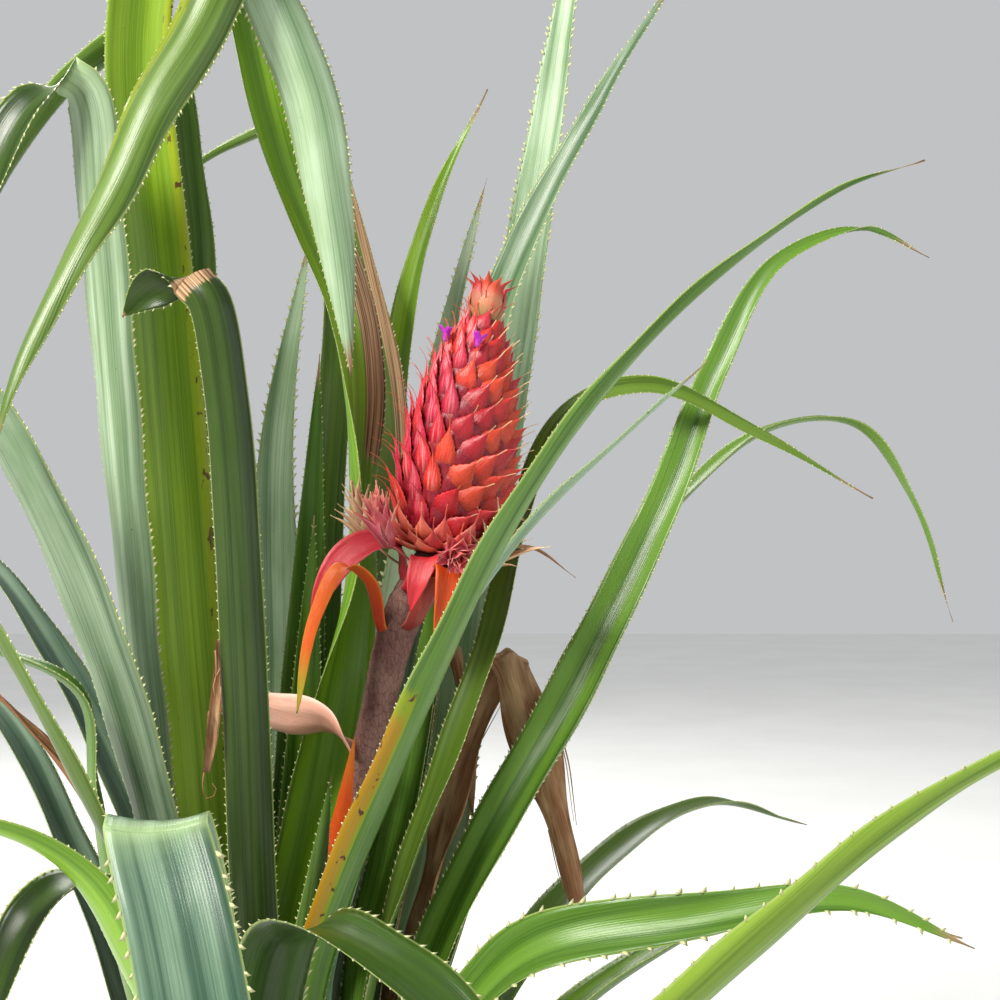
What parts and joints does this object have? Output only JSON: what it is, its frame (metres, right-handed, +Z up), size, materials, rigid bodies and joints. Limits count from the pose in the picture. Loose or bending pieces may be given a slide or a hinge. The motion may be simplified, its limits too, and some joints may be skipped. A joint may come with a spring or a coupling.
{
  "type": "pineapple plant",
  "caption": "Red pineapple plant in fruit: a rosette of long toothed leaves on a short stem, with a leaning scape, coloured bracts, slips and a scaly fruit head.",
  "frame": {"origin": "middle of the stem's flat cut, at ground level", "axes": "+Z up, +X to the right and +Y away from the viewer as pictured, so the scape leans towards +X"},
  "size_m": [0.8354, 0.8659, 1.0841],
  "materials": {
    "stem": "rough, fibrous leaf bases",
    "scape": "matt, scaly",
    "fruit_red": "satin scales",
    "tuft": "matt",
    "leaf_green": "satin, smooth leaf skin",
    "leaf_bright": "satin, lit through",
    "leaf_silver": "matt waxy bloom over green",
    "leaf_shade": "satin",
    "leaf_slate": "matt waxy bloom over blue-green",
    "leaf_dry": "dry, fibrous, matt",
    "bract_red": "satin",
    "bract_orange": "satin",
    "bract_pink": "satin",
    "slip": "dry, matt"
  },
  "bodies": {
    "root": {"stem": "stem", "scape": "scape", "syncarp": "fruit_red", "crown_tuft": "tuft", "leaf_front_tall": "leaf_shade", "leaf_front_tall_tip": "leaf_dry", "leaf_left_tall": "leaf_bright", "leaf_left_tall_tip": "leaf_green", "leaf_left_silver": "leaf_silver", "leaf_left_silver_tip": "leaf_shade", "leaf_arch_rise": "leaf_bright", "leaf_arch_fall": "leaf_silver", "leaf_rear_right_low": "leaf_green", "leaf_rear_pale": "leaf_silver", "leaf_rear_green": "leaf_green", "leaf_rear_olive": "leaf_shade", "leaf_rear_narrow": "leaf_bright", "leaf_rear_toothed": "leaf_silver", "leaf_rear_blue": "leaf_silver", "leaf_rear_long": "leaf_silver", "leaf_front_arch": "leaf_green", "leaf_front_thin": "leaf_silver", "leaf_right_green": "leaf_bright", "leaf_right_droop": "leaf_green", "leaf_right_long": "leaf_green", "leaf_low_right": "leaf_bright", "leaf_low_bent": "leaf_green", "leaf_low_front": "leaf_shade", "leaf_front_folded": "leaf_silver", "leaf_front_folded_tip": "leaf_silver", "leaf_left_low_bright": "leaf_bright", "leaf_left_low_dark": "leaf_shade", "leaf_left_out_silver": "leaf_silver", "leaf_left_level": "leaf_green", "leaf_left_slim": "leaf_green", "leaf_left_brown": "leaf_dry", "leaf_left_slate": "leaf_slate", "leaf_left_rear": "leaf_slate", "leaf_left_arching": "leaf_green", "leaf_rear_high": "leaf_green", "leaf_by_scape": "leaf_green", "leaf_behind_scape": "leaf_silver", "leaf_inner_dark": "leaf_shade", "leaf_inner_green": "leaf_green", "dry_leaf_long": "leaf_dry", "dry_leaf_long_tip": "leaf_dry", "dry_leaf_olive": "leaf_dry", "leaf_rear_low": "leaf_green", "leaf_right_low": "leaf_green", "bract_crimson": "bract_red", "bract_orange_arch": "bract_orange", "bract_centre": "bract_red", "bract_brown_arch": "bract_red", "bract_hanging": "bract_orange", "bract_dried": "leaf_dry", "bract_pink": "bract_pink", "bract_low": "bract_orange", "slip_left": "slip", "slip_front": "slip", "slip_right": "slip"}
  },
  "joints": []
}
